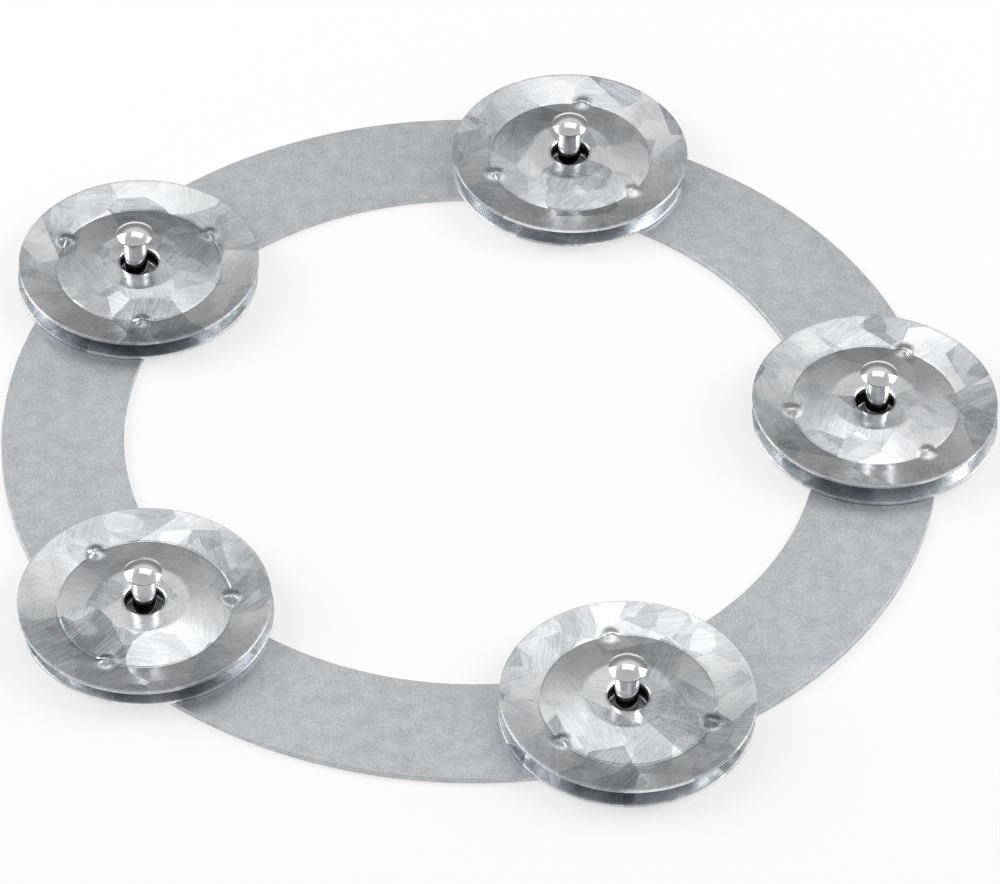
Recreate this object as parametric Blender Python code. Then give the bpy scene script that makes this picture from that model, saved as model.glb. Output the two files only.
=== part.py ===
"""A jingle ring for a cymbal: a flat steel ring with five loose pairs of discs on rivets.

Lengths are in metres and +Z is up. The origin is on the ring's axis, in the plane of the plate's
upper face, where the rivets' shoulders and the lower discs sit. Station 1 is on +X, and the others
follow it anticlockwise.
"""

import math
from collections import namedtuple

import bmesh
import bpy

# Ring plate
RING_OUTER_RADIUS = 0.0762
RING_INNER_RADIUS = 0.0563
RING_THICKNESS = 0.0010
RING_EDGE_BREAK = 0.00015
STATION_COUNT = 5

# Disc, pressed from sheet. Its crease is the circle where two discs lie back to back.
DISC_RADIUS = 0.0200
SHEET_THICKNESS = 0.0005
CREASE_RADIUS = 0.0137
CREASE_WIDTH = 0.0006
CREASE_ROUNDING = 0.00006
RIM_RISE = 0.0011
HUB_RADIUS = 0.0070
HUB_RISE = 0.0011
HUB_ROUNDING = 0.0010
HUB_ROUNDING_DROP = 0.00012

# Turned-in lip round the disc's hole
LIP_REACH = 0.0010
LIP_WALL = 0.00035
LIP_DROP = 0.0009
LIP_STEPS = 2

# Raised bumps on the disc's crease
BUMP_COUNT = 3
BUMP_RADIUS = 0.0019
BUMP_HEIGHT = 0.00065
BUMP_ROOT = 0.0001
BUMP_STEPS = 3

# Rivet
SHANK_RADIUS = 0.0019
HEAD_RADIUS = 0.0030
HEAD_RIM_HEIGHT = 0.00035
HEAD_DOME_HEIGHT = 0.0010
HEAD_DOME_STEPS = 4
HEAD_FILLET = 0.00025
TENON_RADIUS = 0.0012
TAIL_RADIUS = 0.0017
TAIL_DEPTH = 0.0005
TAIL_RECESS = 0.0001

# Clearances
SEAT_GAP = 0.0003
HOLE_PLAY = 0.00085
PAIR_PLAY = 0.00575
CUTTER_OVERRUN = 0.0010

# Facets round each turned piece
RING_FACETS = 96
DISC_FACETS = 32
RIVET_FACETS = 16
BUMP_FACETS = 10
SMOOTH_ANGLE = math.radians(35)
MERGE_DISTANCE = 0.000001

# How each pair of loose discs lies on its rivet. A spin is the angle of the disc's first bump in
# degrees. A drift is how far the disc lies to one side, along X and Y, as a share of its free play.
Station = namedtuple("Station", "upper_spin lower_spin upper_drift lower_drift")
STATIONS = (
    Station(63.0, 20.0, (-0.5, 0.3), (-0.3, -0.8)),
    Station(77.0, 105.0, (0.3, -0.2), (0.2, -0.15)),
    Station(31.0, 80.0, (0.9, 0.1), (0.5, 0.1)),
    Station(3.0, 50.0, (0.0, -0.15), (0.6, 0.75)),
    Station(97.0, 8.0, (0.4, -0.1), (0.2, -0.3)),
)

# Sizes that follow from the ones above
STATION_RADIUS = (RING_OUTER_RADIUS + RING_INNER_RADIUS) / 2
HOLE_RADIUS = SHANK_RADIUS + HOLE_PLAY
FREE_DRIFT = HOLE_PLAY - SEAT_GAP
DISC_DEPTH = SHEET_THICKNESS + max(RIM_RISE, HUB_RISE)
LOWER_CREASE_HEIGHT = SEAT_GAP + DISC_DEPTH
UPPER_CREASE_HEIGHT = LOWER_CREASE_HEIGHT + SEAT_GAP
PAIR_TOP = UPPER_CREASE_HEIGHT + DISC_DEPTH
HEAD_UNDERSIDE = PAIR_TOP + PAIR_PLAY


def clear_scene():
    """Removes every object that the file holds."""
    for item in list(bpy.data.objects):
        bpy.data.objects.remove(item, do_unlink=True)


def make_finish(name, colour, metallic, roughness):
    """Returns a material with one colour, metallic value and roughness."""
    material = bpy.data.materials.new(name)
    material.use_nodes = True
    shader = material.node_tree.nodes["Principled BSDF"]
    shader.inputs["Base Color"].default_value = (*colour, 1.0)
    shader.inputs["Metallic"].default_value = metallic
    shader.inputs["Roughness"].default_value = roughness
    material.diffuse_color = (*colour, 1.0)
    return material


def plate_finish():
    """Returns the plate's matt grey, tumbled steel."""
    return make_finish("matt_steel", (0.46, 0.48, 0.50), 0.8, 0.55)


def disc_finish():
    """Returns the discs' bright galvanised sheet."""
    return make_finish("galvanised_sheet", (0.72, 0.74, 0.76), 1.0, 0.30)


def rivet_finish():
    """Returns the rivets' polished nickel plating."""
    return make_finish("polished_nickel", (0.82, 0.82, 0.83), 1.0, 0.10)


def turn_profile(profile, facets, closed):
    """Turns an outline of (radius, height) points round Z into a bmesh with outward faces.

    A closed outline makes a ring. An open one starts and ends on the axis.
    """
    mesh = bmesh.new()
    points = [mesh.verts.new((radius, 0.0, height)) for radius, height in profile]
    edges = [mesh.edges.new(pair) for pair in zip(points, points[1:])]
    if closed:
        edges.append(mesh.edges.new((points[-1], points[0])))
    bmesh.ops.spin(
        mesh,
        geom=points + edges,
        cent=(0.0, 0.0, 0.0),
        axis=(0.0, 0.0, 1.0),
        angle=math.tau,
        steps=facets,
        use_merge=True,
    )
    bmesh.ops.remove_doubles(mesh, verts=mesh.verts, dist=MERGE_DISTANCE)
    bmesh.ops.recalc_face_normals(mesh, faces=mesh.faces)
    return mesh


def finish_mesh(name, mesh, material=None):
    """Stores a bmesh under a name, shaded smooth apart from its real edges."""
    data = bpy.data.meshes.new(name)
    mesh.to_mesh(data)
    mesh.free()
    if material:
        data.materials.append(material)
    data.shade_smooth()
    data.set_sharp_from_angle(angle=SMOOTH_ANGLE)
    return data


def place(name, data, parent=None, location=(0.0, 0.0, 0.0), rotation=(0.0, 0.0, 0.0)):
    """Adds an object to the scene under a parent."""
    item = bpy.data.objects.new(name, data)
    bpy.context.scene.collection.objects.link(item)
    item.parent = parent
    item.location = location
    item.rotation_euler = rotation
    return item


def ring_outline():
    """Returns the section of the flat ring, with its four edges broken."""
    outer = RING_OUTER_RADIUS
    inner = RING_INNER_RADIUS
    edge = RING_EDGE_BREAK
    low = -RING_THICKNESS
    return [
        (inner + edge, 0.0),
        (inner, -edge),
        (inner, low + edge),
        (inner + edge, low),
        (outer - edge, low),
        (outer, low + edge),
        (outer, -edge),
        (outer - edge, 0.0),
    ]


def tail_slope():
    """Returns how fast the rivet's tail widens as it goes down."""
    return (TAIL_RADIUS - TENON_RADIUS) / TAIL_DEPTH


def tail_top():
    """Returns the height where the tenon starts to widen into the tail."""
    return TAIL_RECESS + TAIL_DEPTH - RING_THICKNESS


def hole_outline():
    """Returns the outline of a rivet hole: the tenon and tail, grown by the seat gap."""
    slope = tail_slope()
    slant = math.sqrt(1.0 + slope * slope)
    radius = TENON_RADIUS + SEAT_GAP
    cone_top = tail_top() + SEAT_GAP * (slant - 1.0) / slope
    low = -RING_THICKNESS - CUTTER_OVERRUN
    mouth = TENON_RADIUS + slope * (tail_top() - low) + SEAT_GAP * slant
    return [(0.0, CUTTER_OVERRUN), (radius, CUTTER_OVERRUN), (radius, cone_top), (mouth, low), (0.0, low)]


def head_outline():
    """Returns the outline of the rivet's low dome, from its crown down to its rim."""
    half_angle = 2.0 * math.atan(HEAD_DOME_HEIGHT / HEAD_RADIUS)
    ball = HEAD_RADIUS / math.sin(half_angle)
    base = HEAD_UNDERSIDE + HEAD_RIM_HEIGHT
    centre = base + HEAD_DOME_HEIGHT - ball
    points = []
    for step in range(HEAD_DOME_STEPS + 1):
        angle = half_angle * step / HEAD_DOME_STEPS
        points.append((ball * math.sin(angle), centre + ball * math.cos(angle)))
    return points


def rivet_outline():
    """Returns the whole outline of the shouldered rivet, from its crown to its tail."""
    tail = -RING_THICKNESS + TAIL_RECESS
    return head_outline() + [
        (HEAD_RADIUS, HEAD_UNDERSIDE),
        (SHANK_RADIUS + HEAD_FILLET, HEAD_UNDERSIDE),
        (SHANK_RADIUS, HEAD_UNDERSIDE - HEAD_FILLET),
        (SHANK_RADIUS, SEAT_GAP),
        (TENON_RADIUS, SEAT_GAP),
        (TENON_RADIUS, tail_top()),
        (TAIL_RADIUS, tail),
        (0.0, tail),
    ]


def lip_arc(start_height, wall, drop):
    """Returns the curve from the hub's flat down to the edge of the hole.

    The wall is how far outside the hole the curve ends, and the drop is how far down it goes.
    """
    reach = LIP_REACH - wall
    points = []
    for step in range(LIP_STEPS + 1):
        angle = math.pi / 2 * step / LIP_STEPS
        radius = HOLE_RADIUS + wall + reach * (1.0 - math.sin(angle))
        height = start_height - drop * (1.0 - math.cos(angle))
        points.append((radius, height))
    return points


def disc_outline():
    """Returns the section of a disc, which rises from its crease to its rim and its hub."""
    sheet = SHEET_THICKNESS
    half_crease = CREASE_WIDTH / 2
    top = [
        (DISC_RADIUS, RIM_RISE + sheet),
        (CREASE_RADIUS + half_crease, CREASE_ROUNDING + sheet),
        (CREASE_RADIUS, sheet),
        (CREASE_RADIUS - half_crease, CREASE_ROUNDING + sheet),
        (HUB_RADIUS + HUB_ROUNDING / 2, HUB_RISE - HUB_ROUNDING_DROP + sheet),
        (HUB_RADIUS - HUB_ROUNDING / 2, HUB_RISE + sheet),
    ]
    under = [
        (HUB_RADIUS, HUB_RISE),
        (CREASE_RADIUS - half_crease, 0.0),
        (CREASE_RADIUS + half_crease, 0.0),
        (DISC_RADIUS, RIM_RISE),
    ]
    lip_top = lip_arc(HUB_RISE + sheet, 0.0, LIP_DROP)
    lip_under = lip_arc(HUB_RISE, LIP_WALL, LIP_DROP - sheet)
    return top + lip_top + lip_under[::-1] + under


def bump_outline():
    """Returns the outline of one domed bump, rooted inside the sheet."""
    root = SHEET_THICKNESS - BUMP_ROOT
    height = BUMP_HEIGHT + BUMP_ROOT
    half_angle = 2.0 * math.atan(height / BUMP_RADIUS)
    ball = BUMP_RADIUS / math.sin(half_angle)
    centre = root + height - ball
    points = []
    for step in range(BUMP_STEPS + 1):
        angle = half_angle * step / BUMP_STEPS
        points.append((ball * math.sin(angle), centre + ball * math.cos(angle)))
    return points + [(0.0, root)]


def join_mesh(base, extra, name):
    """Returns the Boolean union of two closed meshes as a new mesh."""
    base_item = place(name + "_base", base)
    extra_item = place(name + "_extra", extra)
    union = base_item.modifiers.new("union", "BOOLEAN")
    union.operation = "UNION"
    union.object = extra_item
    bpy.context.view_layer.update()
    evaluated = base_item.evaluated_get(bpy.context.evaluated_depsgraph_get())
    joined = bpy.data.meshes.new_from_object(evaluated)
    joined.name = name
    for item in (base_item, extra_item):
        bpy.data.objects.remove(item, do_unlink=True)
    return joined


def make_bumps():
    """Returns one mesh that holds every bump of a disc, evenly spaced on its crease."""
    bumps = bmesh.new()
    one = turn_profile(bump_outline(), BUMP_FACETS, closed=False)
    single = bpy.data.meshes.new("bump")
    one.to_mesh(single)
    one.free()
    for index in range(BUMP_COUNT):
        before = len(bumps.verts)
        bumps.from_mesh(single)
        bumps.verts.ensure_lookup_table()
        angle = math.tau * index / BUMP_COUNT
        offset = (CREASE_RADIUS * math.cos(angle), CREASE_RADIUS * math.sin(angle), 0.0)
        bmesh.ops.translate(bumps, verts=bumps.verts[before:], vec=offset)
    bpy.data.meshes.remove(single)
    return finish_mesh("bumps", bumps)


def make_disc():
    """Returns the mesh that all the discs share: crease underside at z = 0, first bump on +X."""
    blank = finish_mesh("disc_blank", turn_profile(disc_outline(), DISC_FACETS, closed=True), disc_finish())
    disc = join_mesh(blank, make_bumps(), "disc")
    disc.shade_smooth()
    disc.set_sharp_from_angle(angle=SMOOTH_ANGLE)
    return disc


def add_station_frame(index):
    """Adds the empty that stands on a rivet's axis, on the plate's upper face."""
    angle = math.tau * index / STATION_COUNT
    location = (STATION_RADIUS * math.cos(angle), STATION_RADIUS * math.sin(angle), 0.0)
    return place(f"station_{index + 1}", None, location=location)


def add_hole_cutter(plate, hole, frame, number):
    """Cuts one rivet hole through the plate."""
    cutter = place(f"hole_cutter_{number}", hole, parent=frame)
    cutter.hide_render = True
    cutter.display_type = "WIRE"
    cut = plate.modifiers.new(f"rivet_hole_{number}", "BOOLEAN")
    cut.operation = "DIFFERENCE"
    cut.object = cutter


def add_discs(disc, station, frame, number):
    """Adds the lower disc, which lies rim down, and the upper disc, which lies rim up."""
    lower_x, lower_y = (share * FREE_DRIFT for share in station.lower_drift)
    upper_x, upper_y = (share * FREE_DRIFT for share in station.upper_drift)
    place(
        f"lower_jingle_{number}",
        disc,
        parent=frame,
        location=(lower_x, lower_y, LOWER_CREASE_HEIGHT),
        rotation=(math.pi, 0.0, math.radians(station.lower_spin)),
    )
    place(
        f"upper_jingle_{number}",
        disc,
        parent=frame,
        location=(upper_x, upper_y, UPPER_CREASE_HEIGHT),
        rotation=(0.0, 0.0, math.radians(station.upper_spin)),
    )


def main():
    """Builds the ring and its stations."""
    clear_scene()
    plate_mesh = finish_mesh("ring_plate", turn_profile(ring_outline(), RING_FACETS, closed=True), plate_finish())
    plate = place("ring_plate", plate_mesh)
    hole = finish_mesh("rivet_hole", turn_profile(hole_outline(), RIVET_FACETS, closed=False))
    rivet = finish_mesh("rivet", turn_profile(rivet_outline(), RIVET_FACETS, closed=False), rivet_finish())
    disc = make_disc()
    for index in range(STATION_COUNT):
        number = index + 1
        frame = add_station_frame(index)
        add_hole_cutter(plate, hole, frame, number)
        place(f"rivet_{number}", rivet, parent=frame)
        add_discs(disc, STATIONS[index % len(STATIONS)], frame, number)


main()
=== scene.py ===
"""Dresses a cymbal's jingle ring for its picture: five pairs of loose discs on a flat steel ring.

Lengths are in metres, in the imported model's frame: the origin is on the ring's axis, in the plane of
the plate's upper face, and +Z is up. Each dressed piece replaces the plain solid that its own name
ends in.
"""

import logging
import math
from collections.abc import Sequence
from dataclasses import dataclass
from enum import Enum

import bmesh
import bpy
from mathutils import Matrix, Vector


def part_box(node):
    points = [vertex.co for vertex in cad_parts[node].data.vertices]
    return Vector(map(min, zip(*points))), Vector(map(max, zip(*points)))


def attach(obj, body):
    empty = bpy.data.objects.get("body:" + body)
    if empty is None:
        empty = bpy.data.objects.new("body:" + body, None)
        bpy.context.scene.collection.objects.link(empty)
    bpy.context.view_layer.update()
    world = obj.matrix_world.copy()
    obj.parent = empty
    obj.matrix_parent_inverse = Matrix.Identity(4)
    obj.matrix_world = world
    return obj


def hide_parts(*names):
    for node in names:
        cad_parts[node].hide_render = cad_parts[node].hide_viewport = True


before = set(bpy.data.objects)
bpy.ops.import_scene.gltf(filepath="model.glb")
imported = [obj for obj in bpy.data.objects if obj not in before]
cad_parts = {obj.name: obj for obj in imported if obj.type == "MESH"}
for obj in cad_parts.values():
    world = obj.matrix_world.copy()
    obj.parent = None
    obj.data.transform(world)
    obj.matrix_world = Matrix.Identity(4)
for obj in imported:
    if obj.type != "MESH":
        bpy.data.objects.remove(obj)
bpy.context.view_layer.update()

LOG = logging.getLogger("jingle_ring")
MM = 0.001
PER_MM = 1 / MM
MERGE_DISTANCE = 0.000001
CORNER_STEPS = 4
Point = tuple[float, float]
Corner = tuple[float, float, float]


def linear(code: str) -> tuple[float, float, float, float]:
    """Turns an sRGB colour into the linear colour that a shader takes.

    Args:
        code: The colour as six hex digits.

    Returns:
        Linear red, green and blue, with an alpha of 1.
    """
    coded = [int(code[place : place + 2], 16) / 255 for place in (0, 2, 4)]
    levels = [
        level / 12.92 if level <= 0.04045 else ((level + 0.055) / 1.055) ** 2.4 for level in coded
    ]
    return (*levels, 1.0)


def add_node(
    tree: bpy.types.NodeTree,
    kind: str,
    settings: dict[str, object] | None = None,
    values: dict[str | int, object] | None = None,
    links: dict[str | int, bpy.types.NodeSocket] | None = None,
) -> bpy.types.Node:
    """Adds one node with its settings and links.

    Args:
        tree: The node tree that gets the node.
        kind: The node's type.
        settings: Values of the node's own properties.
        values: Values of its unlinked inputs.
        links: The sockets that feed its other inputs.

    Returns:
        The new node.
    """
    node = tree.nodes.new(kind)
    for name, value in (settings or {}).items():
        setattr(node, name, value)
    for name, value in (values or {}).items():
        node.inputs[name].default_value = value
    for name, socket in (links or {}).items():
        tree.links.new(socket, node.inputs[name])
    return node


def millimetres(tree: bpy.types.NodeTree, offset: tuple[float, float, float]) -> bpy.types.NodeSocket:
    """Gives a material its place on the piece in millimetres.

    Args:
        tree: The material's node tree.
        offset: How far the pattern is moved, in millimetres.

    Returns:
        The socket that holds the place.
    """
    place = add_node(tree, "ShaderNodeTexCoord")
    mapping = add_node(
        tree,
        "ShaderNodeMapping",
        values={"Location": offset, "Scale": (PER_MM, PER_MM, PER_MM)},
        links={"Vector": place.outputs["Object"]},
    )
    return mapping.outputs["Vector"]


def weighted(
    tree: bpy.types.NodeTree,
    middle: float,
    parts: Sequence[tuple[bpy.types.NodeSocket, float]],
) -> bpy.types.NodeSocket:
    """Adds up patterns that each run from 0 to 1 around their middle.

    Args:
        tree: The material's node tree.
        middle: The sum where every pattern is at its middle.
        parts: Each pattern's socket with its share of the sum.

    Returns:
        The socket that holds the sum, kept between 0 and 1.
    """
    constant = middle - sum(share for _, share in parts) / 2
    total = None
    for socket, share in parts:
        values = {1: share} if total else {1: share, 2: constant}
        links = {0: socket, 2: total} if total else {0: socket}
        total = add_node(
            tree, "ShaderNodeMath", {"operation": "MULTIPLY_ADD"}, values, links
        ).outputs[0]
    return add_node(tree, "ShaderNodeClamp", links={"Value": total}).outputs["Result"]


def blended(
    tree: bpy.types.NodeTree, factor: bpy.types.NodeSocket, dark: str, light: str
) -> bpy.types.NodeSocket:
    """Mixes two colours.

    Args:
        tree: The material's node tree.
        factor: The socket that picks between the two.
        dark: The colour at 0, as sRGB hex.
        light: The colour at 1, as sRGB hex.

    Returns:
        The socket that holds the colour.
    """
    return add_node(
        tree,
        "ShaderNodeMixRGB",
        values={"Color1": linear(dark), "Color2": linear(light)},
        links={"Fac": factor},
    ).outputs["Color"]


@dataclass(frozen=True)
class TumbledSteel:
    """Mild steel sheet, tumbled in stone and zinc plated: an even matt grey with a fine, slightly
    mottled grain, which spreads every reflection wide. The real grain, about 0.1 mm, is too fine to
    show, so it is drawn coarser."""

    name: str = "tumbled_steel"
    dark: str = "A8ACB0"
    light: str = "E0E3E6"
    grain_mm: float = 0.45
    mottle_mm: float = 2.6
    cloud_mm: float = 24.0
    grain_share: float = 1.3
    mottle_share: float = 0.8
    cloud_share: float = 0.4
    pitting: float = 0.35
    pit_depth: float = 0.03 * MM
    roughness: float = 0.50
    metallic: float = 0.85

    def material(self) -> bpy.types.Material:
        """Builds the material.

        Returns:
            The finished material.
        """
        material = bpy.data.materials.new(self.name)
        material.use_nodes = True
        tree = material.node_tree
        shader = tree.nodes["Principled BSDF"]
        place = millimetres(tree, (0.0, 0.0, 0.0))
        grain, mottle, cloud = (
            add_node(
                tree,
                "ShaderNodeTexNoise",
                values={"Scale": 1 / size, "Detail": detail, "Roughness": 0.6},
                links={"Vector": place},
            ).outputs["Fac"]
            for size, detail in ((self.grain_mm, 3.0), (self.mottle_mm, 3.0), (self.cloud_mm, 2.0))
        )
        tone = weighted(
            tree,
            0.5,
            [(grain, self.grain_share), (mottle, self.mottle_share), (cloud, self.cloud_share)],
        )
        bump = add_node(
            tree,
            "ShaderNodeBump",
            values={"Strength": self.pitting, "Distance": self.pit_depth},
            links={"Height": grain},
        )
        tree.links.new(blended(tree, tone, self.dark, self.light), shader.inputs["Base Color"])
        tree.links.new(bump.outputs["Normal"], shader.inputs["Normal"])
        shader.inputs["Metallic"].default_value = self.metallic
        shader.inputs["Roughness"].default_value = self.roughness
        return material


@dataclass(frozen=True)
class GalvanisedSheet:
    """Hot-dip galvanised steel sheet, pressed: the zinc froze in large flat crystals, each leaning a
    little its own way, so that neighbours mirror unlike parts of the room, with feathery streaks and
    fine pickled specks inside them. The real specks are drawn coarser, so that they show."""

    name: str = "galvanised_sheet"
    dark: str = "868C91"
    light: str = "F6F8FA"
    crystal_mm: float = 8.0
    splinter_mm: float = 3.4
    streak_width_mm: float = 0.35
    streak_length_mm: float = 5.0
    speck_mm: float = 0.28
    cloud_mm: float = 9.0
    tone_middle: float = 0.56
    crystal_share: float = 0.70
    splinter_share: float = 0.28
    streak_share: float = 0.55
    speck_share: float = 0.65
    cloud_share: float = 0.60
    matt_middle: float = 0.45
    matt_crystal_share: float = 0.5
    matt_cloud_share: float = 0.9
    matt_speck_share: float = 0.5
    relief: float = 0.25
    relief_depth: float = 0.02 * MM
    lean: float = 0.11
    smoothest: float = 0.16
    roughest: float = 0.34
    offset: tuple[float, float, float] = (0.0, 0.0, 0.0)

    def material(self) -> bpy.types.Material:
        """Builds the material.

        Returns:
            The finished material.
        """
        material = bpy.data.materials.new(self.name)
        material.use_nodes = True
        tree = material.node_tree
        shader = tree.nodes["Principled BSDF"]
        place = millimetres(tree, self.offset)
        crystal, splinter = (
            add_node(
                tree,
                "ShaderNodeTexVoronoi",
                {"voronoi_dimensions": "3D", "feature": "F1"},
                {"Scale": 1 / size},
                {"Vector": place},
            )
            for size in (self.crystal_mm, self.splinter_mm)
        )
        crystal_parts = add_node(
            tree, "ShaderNodeSeparateColor", links={"Color": crystal.outputs["Color"]}
        )
        splinter_parts = add_node(
            tree, "ShaderNodeSeparateColor", links={"Color": splinter.outputs["Color"]}
        )
        turn = add_node(
            tree,
            "ShaderNodeMath",
            {"operation": "MULTIPLY"},
            {1: math.tau},
            {0: crystal_parts.outputs["Red"]},
        )
        turned = add_node(
            tree,
            "ShaderNodeVectorRotate",
            {"rotation_type": "Z_AXIS"},
            links={"Vector": place, "Angle": turn.outputs[0]},
        )
        stretched = add_node(
            tree,
            "ShaderNodeMapping",
            values={"Scale": (1 / self.streak_width_mm, 1 / self.streak_length_mm, 1.0)},
            links={"Vector": turned.outputs["Vector"]},
        )
        streak = add_node(
            tree,
            "ShaderNodeTexNoise",
            values={"Scale": 1.0, "Detail": 3.0, "Distortion": 0.4},
            links={"Vector": stretched.outputs["Vector"]},
        ).outputs["Fac"]
        speck, cloud = (
            add_node(
                tree,
                "ShaderNodeTexNoise",
                values={"Scale": 1 / size, "Detail": 4.0, "Roughness": 0.65},
                links={"Vector": place},
            ).outputs["Fac"]
            for size in (self.speck_mm, self.cloud_mm)
        )
        tone = weighted(
            tree,
            self.tone_middle,
            [
                (crystal_parts.outputs["Green"], self.crystal_share),
                (splinter_parts.outputs["Green"], self.splinter_share),
                (streak, self.streak_share),
                (speck, self.speck_share),
                (cloud, self.cloud_share),
            ],
        )
        matt = weighted(
            tree,
            self.matt_middle,
            [
                (crystal_parts.outputs["Blue"], self.matt_crystal_share),
                (cloud, self.matt_cloud_share),
                (speck, self.matt_speck_share),
            ],
        )
        roughness = add_node(
            tree,
            "ShaderNodeMapRange",
            values={"To Min": self.smoothest, "To Max": self.roughest},
            links={"Value": matt},
        )
        bump = add_node(
            tree,
            "ShaderNodeBump",
            values={"Strength": self.relief, "Distance": self.relief_depth},
            links={"Height": weighted(tree, 0.5, [(streak, 0.5), (speck, 0.5)])},
        )
        leaning = bump.outputs["Normal"]
        for source, share in ((crystal, self.lean), (splinter, self.lean / 3)):
            centred = add_node(
                tree,
                "ShaderNodeVectorMath",
                {"operation": "SUBTRACT"},
                {1: (0.5, 0.5, 0.5)},
                {0: source.outputs["Color"]},
            )
            leaning = add_node(
                tree,
                "ShaderNodeVectorMath",
                {"operation": "MULTIPLY_ADD"},
                {1: (share, share, share)},
                {0: centred.outputs["Vector"], 2: leaning},
            ).outputs["Vector"]
        normal = add_node(tree, "ShaderNodeVectorMath", {"operation": "NORMALIZE"}, links={0: leaning})
        tree.links.new(blended(tree, tone, self.dark, self.light), shader.inputs["Base Color"])
        tree.links.new(roughness.outputs["Result"], shader.inputs["Roughness"])
        tree.links.new(normal.outputs["Vector"], shader.inputs["Normal"])
        shader.inputs["Metallic"].default_value = 1.0
        return material


@dataclass(frozen=True)
class PolishedNickel:
    """Bright nickel plating on a turned and polished rivet: a near mirror, with faint rub marks that
    soften it here and there."""

    name: str = "polished_nickel"
    dark: str = "DCDDDF"
    light: str = "F2F2F3"
    rub_mm: float = 0.9
    faintest_rub: float = 0.35
    strongest_rub: float = 0.7
    smoothest: float = 0.05
    roughest: float = 0.14

    def material(self) -> bpy.types.Material:
        """Builds the material.

        Returns:
            The finished material.
        """
        material = bpy.data.materials.new(self.name)
        material.use_nodes = True
        tree = material.node_tree
        shader = tree.nodes["Principled BSDF"]
        rub = add_node(
            tree,
            "ShaderNodeTexNoise",
            values={"Scale": 1 / self.rub_mm, "Detail": 5.0, "Roughness": 0.6},
            links={"Vector": millimetres(tree, (0.0, 0.0, 0.0))},
        ).outputs["Fac"]
        roughness = add_node(
            tree,
            "ShaderNodeMapRange",
            values={
                "From Min": self.faintest_rub,
                "From Max": self.strongest_rub,
                "To Min": self.smoothest,
                "To Max": self.roughest,
            },
            links={"Value": rub},
        )
        tree.links.new(blended(tree, rub, self.dark, self.light), shader.inputs["Base Color"])
        tree.links.new(roughness.outputs["Result"], shader.inputs["Roughness"])
        shader.inputs["Metallic"].default_value = 1.0
        return material


@dataclass(frozen=True)
class WhiteSweep:
    """White studio paper: matt, and so pale that only the shadows of the object show on it."""

    name: str = "white_sweep"
    colour: str = "F8F8F8"
    glow_share: float = 0.6

    def material(self) -> bpy.types.Material:
        """Builds the material.

        Returns:
            The finished material.
        """
        material = bpy.data.materials.new(self.name)
        material.use_nodes = True
        tree = material.node_tree
        tree.nodes.remove(tree.nodes["Principled BSDF"])
        paper = add_node(tree, "ShaderNodeBsdfDiffuse", values={"Color": linear(self.colour)})
        glow = add_node(tree, "ShaderNodeEmission", values={"Color": linear("FFFFFF"), "Strength": 1.0})
        path = add_node(tree, "ShaderNodeLightPath")
        seen = path.outputs["Is Camera Ray"]
        for output in ("Is Glossy Ray", "Is Transmission Ray"):
            seen = add_node(
                tree,
                "ShaderNodeMath",
                {"operation": "MAXIMUM"},
                links={0: seen, 1: path.outputs[output]},
            ).outputs[0]
        share = add_node(
            tree, "ShaderNodeMath", {"operation": "MULTIPLY"}, {1: self.glow_share}, {0: seen}
        )
        mix = add_node(
            tree,
            "ShaderNodeMixShader",
            links={0: share.outputs[0], 1: paper.outputs[0], 2: glow.outputs[0]},
        )
        tree.links.new(mix.outputs[0], tree.nodes["Material Output"].inputs["Surface"])
        return material


def rounded(corners: Sequence[Corner], closed: bool) -> list[Point]:
    """Rounds the corners of an outline.

    Args:
        corners: Radius from the axis, height and rounding radius of each corner.
        closed: Whether the last corner joins the first.

    Returns:
        The outline's points, with an arc at each corner that has a rounding radius.
    """
    outline: list[Point] = []
    for index, (radius, height, rounding) in enumerate(corners):
        at_end = not closed and index in (0, len(corners) - 1)
        if rounding <= 0.0 or at_end:
            outline.append((radius, height))
            continue
        corner = Vector((radius, 0.0, height))
        before, after = (
            (Vector((r, 0.0, z)) - corner).normalized()
            for r, z, _ in (corners[index - 1], corners[(index + 1) % len(corners)])
        )
        half = before.angle(after) / 2
        centre = corner + (before + after).normalized() * (rounding / math.sin(half))
        start, end = (
            (corner + side * (rounding / math.tan(half)) - centre).normalized()
            for side in (before, after)
        )
        for step in range(CORNER_STEPS + 1):
            spot = centre + start.slerp(end, step / CORNER_STEPS).normalized() * rounding
            outline.append((spot.x, spot.z))
    return outline


def divided(outline: Sequence[Point], longest: float, closed: bool) -> list[Point]:
    """Divides the long stretches of an outline.

    Args:
        outline: The points, as radius and height.
        longest: The longest stretch that is left.
        closed: Whether the last point joins the first.

    Returns:
        The outline with points added along its long stretches.
    """
    points: list[Point] = []
    pairs = list(zip(outline, [*outline[1:], outline[0]]))
    for start, end in pairs if closed else pairs[:-1]:
        count = max(1, math.ceil(math.dist(start, end) / longest))
        for step in range(count):
            share = step / count
            radius = start[0] + (end[0] - start[0]) * share
            height = start[1] + (end[1] - start[1]) * share
            points.append((radius, height))
    return points if closed else [*points, outline[-1]]


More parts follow.
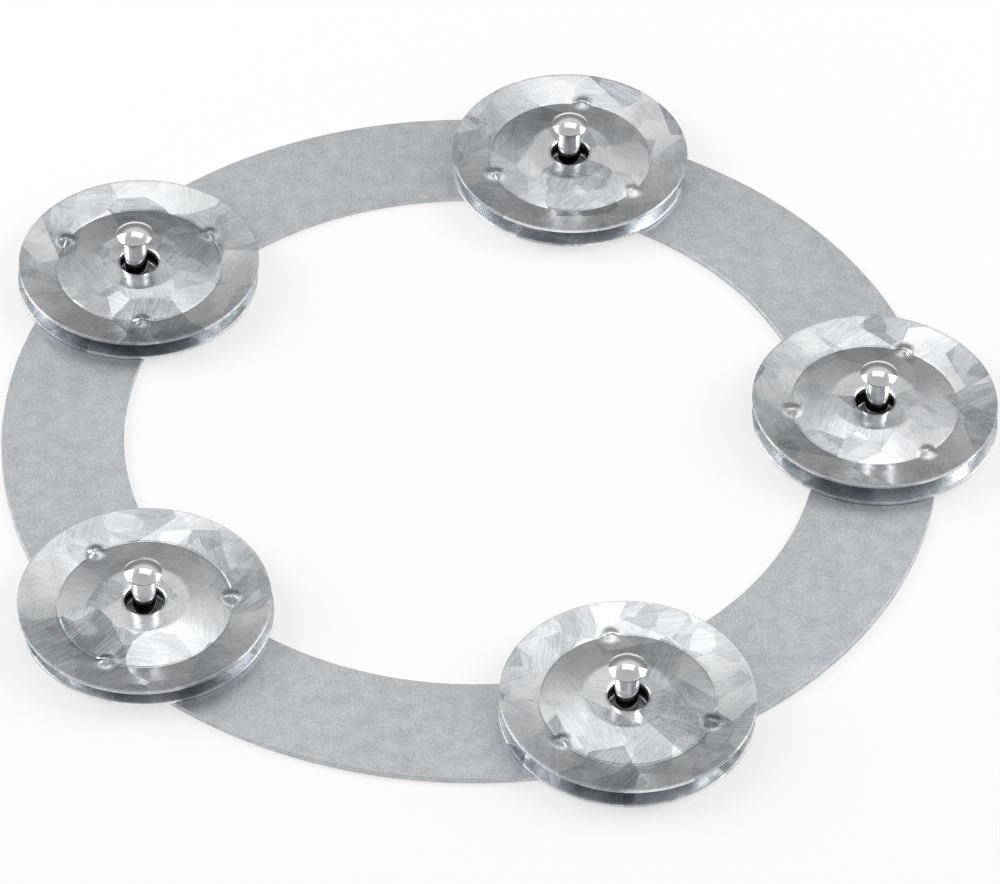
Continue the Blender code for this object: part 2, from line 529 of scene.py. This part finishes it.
def turned(outline: Sequence[Point], steps: int, closed: bool) -> bmesh.types.BMesh:
    """Turns an outline round Z.

    Args:
        outline: The points, as radius and height.
        steps: How many facets the full turn has.
        closed: Whether the last point joins the first. If not, both ends lie on the axis.

    Returns:
        One closed body with its faces pointing out.
    """
    mesh = bmesh.new()
    points = [mesh.verts.new((radius, 0.0, height)) for radius, height in outline]
    edges = [mesh.edges.new(pair) for pair in zip(points, points[1:])]
    if closed:
        edges.append(mesh.edges.new((points[-1], points[0])))
    bmesh.ops.spin(
        mesh,
        geom=points + edges,
        cent=(0.0, 0.0, 0.0),
        axis=(0.0, 0.0, 1.0),
        angle=math.tau,
        steps=steps,
        use_merge=True,
    )
    bmesh.ops.remove_doubles(mesh, verts=mesh.verts, dist=MERGE_DISTANCE)
    bmesh.ops.recalc_face_normals(mesh, faces=mesh.faces)
    return mesh


def add_object(name: str, mesh: bmesh.types.BMesh) -> bpy.types.Object:
    """Adds a smooth object at the origin, with its place in its mesh.

    Args:
        name: The object's name.
        mesh: Its shape, which is freed.

    Returns:
        The new object.
    """
    data = bpy.data.meshes.new(name)
    mesh.to_mesh(data)
    mesh.free()
    data.shade_smooth()
    item = bpy.data.objects.new(name, data)
    bpy.context.scene.collection.objects.link(item)
    return item


def finish_piece(
    item: bpy.types.Object, material: bpy.types.Material, node: str, body: str
) -> None:
    """Dresses a piece and lets it stand for its plain solid.

    Args:
        item: The piece.
        material: Its finish.
        node: The plain solid that it replaces.
        body: The body that it moves with.
    """
    item.data.materials.clear()
    item.data.materials.append(material)
    weighting = item.modifiers.new("flat_faces_keep_their_normals", "WEIGHTED_NORMAL")
    weighting.keep_sharp = True
    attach(item, body)
    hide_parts(node)
    LOG.info("%s rides on %s", item.name, body)


class Side(Enum):
    """Which disc of a pair a jingle is."""

    LOWER = "lower"
    UPPER = "upper"


@dataclass
class Rivet:
    """One solid rivet with a low domed head, a shank that stands on the plate and a tenon below it."""

    number: int
    centre: Vector
    head_radius: float = 3.0 * MM
    head_rim: float = 0.35 * MM
    dome_height: float = 1.0 * MM
    dome_steps: int = 14
    rim_rounding: float = 0.12 * MM
    shank_radius: float = 1.9 * MM
    neck_rounding: float = 0.25 * MM
    foot_gap: float = 0.03 * MM
    tenon_radius: float = 1.2 * MM
    tail_radius: float = 1.7 * MM
    tail_depth: float = 0.5 * MM
    tail_rounding: float = 0.06 * MM
    facets: int = 96

    def outline(self, top: float, tail: float) -> list[Point]:
        """Works out the rivet's section.

        Args:
            top: The crown's height.
            tail: The height of the tail's flat end.

        Returns:
            The section, from the crown down to the tail's centre.
        """
        half_angle = 2 * math.atan(self.dome_height / self.head_radius)
        ball = self.head_radius / math.sin(half_angle)
        turns = [half_angle * step / self.dome_steps for step in range(self.dome_steps)]
        dome = [(ball * math.sin(turn), top - ball * (1 - math.cos(turn))) for turn in turns]
        rim_top = top - self.dome_height
        under = rim_top - self.head_rim
        corners = [
            (*dome[-1], 0.0),
            (self.head_radius, rim_top, self.rim_rounding),
            (self.head_radius, under, self.rim_rounding),
            (self.shank_radius, under, self.neck_rounding),
            (self.shank_radius, self.foot_gap, self.rim_rounding),
            (self.tenon_radius, self.foot_gap, 0.0),
            (self.tenon_radius, tail + self.tail_depth, 0.0),
            (self.tail_radius, tail, self.tail_rounding),
            (0.0, tail, 0.0),
        ]
        return dome[:-1] + rounded(corners, closed=False)

    def build(self, material: bpy.types.Material) -> bpy.types.Object:
        """Makes and dresses the rivet.

        Args:
            material: The rivets' finish.

        Returns:
            The rivet.
        """
        node = f"rivet_{self.number}"
        low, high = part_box(node)
        mesh = turned(self.outline(high.z, low.z), self.facets, closed=False)
        bmesh.ops.translate(mesh, verts=mesh.verts, vec=(self.centre.x, self.centre.y, 0.0))
        item = add_object(f"polished_{node}", mesh)
        finish_piece(item, material, node, "ring")
        return item


@dataclass
class Jingle:
    """One loose disc, pressed from sheet, which rises from its crease to its rim and to its hub."""

    number: int
    side: Side
    spin: float
    radius: float = 20.0 * MM
    sheet: float = 0.55 * MM
    rise: float = 1.25 * MM
    crease_radius: float = 13.7 * MM
    crease_rounding: float = 0.25 * MM
    groove_half: float = 0.32 * MM
    groove_lift: float = 0.06 * MM
    groove_depth: float = 0.05 * MM
    hub_radius: float = 7.0 * MM
    hub_rounding: float = 3.5 * MM
    hole_radius: float = 3.1 * MM
    lip_reach: float = 0.6 * MM
    lip_wall: float = 0.27 * MM
    lip_drop: float = 0.95 * MM
    edge_rounding: float = 0.09 * MM
    bump_count: int = 3
    bump_radius: float = 1.9 * MM
    bump_height: float = 0.68 * MM
    plate_gap: float = 0.05 * MM
    longest_stretch: float = 0.4 * MM
    facets: int = 240

    def outline(self) -> list[Point]:
        """Works out the disc's section, with the underside of its crease at height 0.

        Returns:
            The closed section, from the rim's upper edge inwards and back below.
        """
        rim, crease, hub = self.radius, self.crease_radius, self.hub_radius
        lip = self.hole_radius + self.lip_reach
        top = self.rise + self.sheet
        rolled = self.lip_reach
        corners = [
            (rim, top, self.edge_rounding),
            (crease + self.groove_half, self.sheet + self.groove_lift, self.crease_rounding),
            (crease, self.sheet - self.groove_depth, self.crease_rounding),
            (crease - self.groove_half, self.sheet + self.groove_lift, self.crease_rounding),
            (hub, top, self.hub_rounding),
            (self.hole_radius, top, rolled),
            (self.hole_radius, top - self.lip_drop, self.edge_rounding),
            (self.hole_radius + self.lip_wall, top - self.lip_drop, self.edge_rounding),
            (lip, self.rise, 0.0),
            (hub, self.rise, self.hub_rounding),
            (crease, 0.0, self.crease_rounding),
            (rim, self.rise, self.edge_rounding),
        ]
        return divided(rounded(corners, closed=True), self.longest_stretch, closed=True)

    def pressed(self) -> bmesh.types.BMesh:
        """Turns the disc and presses its round bumps up through the sheet, on its crease.

        Returns:
            The disc about its own axis, with its first bump on +X.
        """
        mesh = turned(self.outline(), self.facets, closed=True)
        for index in range(self.bump_count):
            angle = math.tau * index / self.bump_count
            centre = Vector((math.cos(angle), math.sin(angle))) * self.crease_radius
            for vert in mesh.verts:
                share = (vert.co.xy - centre).length / self.bump_radius
                if share < 1.0:
                    vert.co.z += self.bump_height * math.cos(math.pi / 2 * share) ** 2
        return mesh

    def place(self, low: Vector, high: Vector) -> Matrix:
        """Works out where the disc lies.

        Args:
            low: The plain solid's lowest corner.
            high: Its highest corner.

        Returns:
            The disc's place. An upper disc has its rim up, and a lower one is turned over.
        """
        middle = (low + high) / 2
        spin = Matrix.Rotation(math.radians(self.spin), 4, "Z")
        depth = self.rise + self.sheet
        if self.side is Side.UPPER:
            return Matrix.Translation((middle.x, middle.y, high.z - depth)) @ spin
        flip = Matrix.Rotation(math.pi, 4, "X")
        return Matrix.Translation((middle.x, middle.y, self.plate_gap + depth)) @ spin @ flip

    def build(self, pressing: bmesh.types.BMesh, material: bpy.types.Material) -> bpy.types.Object:
        """Makes and dresses the disc.

        Args:
            pressing: The shape that all the discs share.
            material: The sheet's finish.

        Returns:
            The disc.
        """
        node = f"{self.side.value}_jingle_{self.number}"
        mesh = pressing.copy()
        bmesh.ops.transform(mesh, matrix=self.place(*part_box(node)), verts=mesh.verts)
        item = add_object(f"pressed_{node}", mesh)
        finish_piece(item, material, node, node)
        return item


@dataclass
class Station:
    """One rivet with its pair of discs."""

    number: int
    upper_spin: float
    lower_spin: float

    def build(
        self,
        pressing: bmesh.types.BMesh,
        nickel: bpy.types.Material,
        sheets: dict[Side, bpy.types.Material],
    ) -> None:
        """Makes the rivet and both discs.

        Args:
            pressing: The shape that all the discs share.
            nickel: The rivets' finish.
            sheets: The finish of the upper and the lower discs.
        """
        low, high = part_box(f"rivet_{self.number}")
        Rivet(self.number, (low + high) / 2).build(nickel)
        for side, spin in ((Side.LOWER, self.lower_spin), (Side.UPPER, self.upper_spin)):
            Jingle(self.number, side, spin).build(pressing, sheets[side])


@dataclass
class RingPlate:
    """The flat ring that lies on the cymbal, with a rivet hole at each station."""

    outer_radius: float = 76.2 * MM
    inner_radius: float = 56.3 * MM
    thickness: float = 1.0 * MM
    edge_rounding: float = 0.14 * MM
    hole_radius: float = 1.25 * MM
    hole_mouth: float = 1.8 * MM
    mouth_depth: float = 0.6 * MM
    overrun: float = 0.2 * MM
    sharp_angle: float = math.radians(40)
    hole_facets: int = 64
    facets: int = 360

    def holes(self, centres: Sequence[Vector]) -> bpy.types.Object:
        """Makes the bodies that cut the rivet holes.

        Args:
            centres: Where the rivets stand.

        Returns:
            One object that holds every cutter.
        """
        slope = (self.hole_mouth - self.hole_radius) / self.mouth_depth
        outline = [
            (0.0, self.overrun),
            (self.hole_radius, self.overrun),
            (self.hole_radius, self.mouth_depth - self.thickness),
            (self.hole_mouth + slope * self.overrun, -self.thickness - self.overrun),
            (0.0, -self.thickness - self.overrun),
        ]
        cutters = bmesh.new()
        for centre in centres:
            one = turned(outline, self.hole_facets, closed=False)
            bmesh.ops.translate(one, verts=one.verts, vec=(centre.x, centre.y, 0.0))
            held = bpy.data.meshes.new("rivet_hole")
            one.to_mesh(held)
            one.free()
            cutters.from_mesh(held)
            bpy.data.meshes.remove(held)
        return add_object("rivet_holes", cutters)

    def build(self, centres: Sequence[Vector], material: bpy.types.Material) -> bpy.types.Object:
        """Makes and dresses the plate.

        Args:
            centres: Where the rivets stand.
            material: The plate's finish.

        Returns:
            The plate.
        """
        low = -self.thickness
        corners = [
            (radius, height, self.edge_rounding)
            for radius, height in (
                (self.inner_radius, 0.0),
                (self.inner_radius, low),
                (self.outer_radius, low),
                (self.outer_radius, 0.0),
            )
        ]
        mesh = turned(rounded(corners, closed=True), self.facets, closed=True)
        item = add_object("tumbled_ring_plate", mesh)
        cutters = self.holes(centres)
        cut = item.modifiers.new("rivet_holes", "BOOLEAN")
        cut.operation = "DIFFERENCE"
        cut.object = cutters
        bpy.context.view_layer.update()
        shaped = item.evaluated_get(bpy.context.evaluated_depsgraph_get())
        item.data = bpy.data.meshes.new_from_object(shaped)
        item.modifiers.clear()
        item.data.shade_smooth()
        item.data.set_sharp_from_angle(angle=self.sharp_angle)
        bpy.data.objects.remove(cutters, do_unlink=True)
        finish_piece(item, material, "ring_plate", "ring")
        return item


@dataclass
class SoftBox:
    """One large soft lamp, placed by its direction from the object."""

    name: str
    width: float
    height: float
    radiance: float
    bearing: float
    elevation: float
    distance: float

    def build(self) -> bpy.types.Object:
        """Hangs the lamp, facing the object.

        Returns:
            The lamp.
        """
        lamp = bpy.data.lights.new(self.name, "AREA")
        lamp.shape = "RECTANGLE"
        lamp.size = self.width
        lamp.size_y = self.height
        # An area lamp shows a quarter of its power for each unit of its area
        lamp.energy = 4 * self.width * self.height * self.radiance
        bearing, elevation = math.radians(self.bearing), math.radians(self.elevation)
        away = Vector(
            (
                math.sin(bearing) * math.cos(elevation),
                math.cos(bearing) * math.cos(elevation),
                math.sin(elevation),
            )
        )
        item = bpy.data.objects.new(self.name, lamp)
        item.location = away * self.distance
        item.rotation_euler = away.to_track_quat("Z", "Y").to_euler()
        bpy.context.scene.collection.objects.link(item)
        return item


# The boxes that the metal mirrors: a dim one overhead, and a bright one on either side of the object
SOFT_BOXES = (
    SoftBox("overhead_box", 0.80, 0.52, radiance=0.62, bearing=12.0, elevation=67.0, distance=1.2),
    SoftBox("left_box", 0.70, 0.60, radiance=2.6, bearing=-72.0, elevation=30.0, distance=0.9),
    SoftBox("right_box", 0.50, 0.60, radiance=2.9, bearing=80.0, elevation=30.0, distance=0.9),
)


@dataclass
class Studio:
    """A pale floor, soft lamps under a dome that is darker near the horizon, and the camera."""

    floor_half: float = 4.0
    floor_height: float = -1.02 * MM
    camera_place: tuple[float, float, float] = (-45.91 * MM, -655.84 * MM, 648.16 * MM)
    camera_bearing: float = 4.426
    camera_elevation: float = 44.708
    camera_roll: float = -1.216
    lens: float = 204.235
    sensor_width: float = 36.0
    nearest_seen: float = 0.01
    dome: tuple[tuple[float, float], ...] = (
        (0.0, 0.28),
        (0.36, 0.28),
        (0.50, 0.42),
        (0.68, 0.80),
        (0.84, 0.58),
        (1.0, 0.52),
    )

    def add_floor(self) -> None:
        """Lays the floor under the plate."""
        mesh = bmesh.new()
        bmesh.ops.create_grid(mesh, x_segments=1, y_segments=1, size=self.floor_half)
        bmesh.ops.translate(mesh, verts=mesh.verts, vec=(0.0, 0.0, self.floor_height))
        floor = add_object("floor", mesh)
        floor.data.materials.append(WhiteSweep().material())

    def add_dome(self) -> None:
        """Gives the world a soft light that grows from the horizon to overhead."""
        world = bpy.data.worlds.new("studio_dome")
        world.use_nodes = True
        tree = world.node_tree
        direction = add_node(tree, "ShaderNodeTexCoord")
        height = add_node(
            tree, "ShaderNodeSeparateXYZ", links={"Vector": direction.outputs["Generated"]}
        )
        ramp = add_node(tree, "ShaderNodeValToRGB", links={"Fac": height.outputs["Z"]})
        stops = ramp.color_ramp.elements
        for place, _ in self.dome[1:-1]:
            stops.new(place)
        for stop, (place, level) in zip(stops, self.dome):
            stop.position = place
            stop.color = (level, level, level, 1.0)
        tree.links.new(ramp.outputs["Color"], tree.nodes["Background"].inputs["Color"])
        bpy.context.scene.world = world

    def add_camera(self) -> None:
        """Sets up the camera where the photograph was taken from."""
        bearing, elevation = math.radians(self.camera_bearing), math.radians(self.camera_elevation)
        forward = Vector(
            (
                math.sin(bearing) * math.cos(elevation),
                math.cos(bearing) * math.cos(elevation),
                -math.sin(elevation),
            )
        )
        right = forward.cross(Vector((0.0, 0.0, 1.0))).normalized()
        up = right.cross(forward)
        level = Matrix((right, up, -forward)).transposed()
        roll = Matrix.Rotation(math.radians(-self.camera_roll), 3, -forward)
        camera = bpy.data.cameras.new("camera")
        camera.lens = self.lens
        camera.sensor_width = self.sensor_width
        camera.clip_start = self.nearest_seen
        item = bpy.data.objects.new("camera", camera)
        item.matrix_world = Matrix.Translation(self.camera_place) @ (roll @ level).to_4x4()
        bpy.context.scene.collection.objects.link(item)
        bpy.context.scene.camera = item

    def build(self) -> None:
        """Sets up the whole studio."""
        bpy.context.scene.view_settings.view_transform = "Standard"
        self.add_floor()
        self.add_dome()
        self.add_camera()
        for box in SOFT_BOXES:
            box.build()


# How far the lower discs' pattern is moved, in millimetres, so that a pair never shows the same one
LOWER_SHEET_OFFSET = (40.0, 15.0, 30.0)
STATIONS = (
    Station(1, upper_spin=63.0, lower_spin=20.0),
    Station(2, upper_spin=77.0, lower_spin=105.0),
    Station(3, upper_spin=31.0, lower_spin=80.0),
    Station(4, upper_spin=3.0, lower_spin=50.0),
    Station(5, upper_spin=97.0, lower_spin=8.0),
)


def main() -> None:
    """Builds the studio and every piece in order."""
    logging.basicConfig(level=logging.INFO)
    Studio().build()
    centres = [sum(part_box(f"rivet_{station.number}"), Vector()) / 2 for station in STATIONS]
    RingPlate().build(centres, TumbledSteel().material())
    nickel = PolishedNickel().material()
    sheets = {
        Side.UPPER: GalvanisedSheet().material(),
        Side.LOWER: GalvanisedSheet("galvanised_sheet_below", offset=LOWER_SHEET_OFFSET).material(),
    }
    pressing = Jingle(0, Side.UPPER, 0.0).pressed()
    for station in STATIONS:
        station.build(pressing, nickel, sheets)
    pressing.free()


if __name__ == "__main__":
    main()
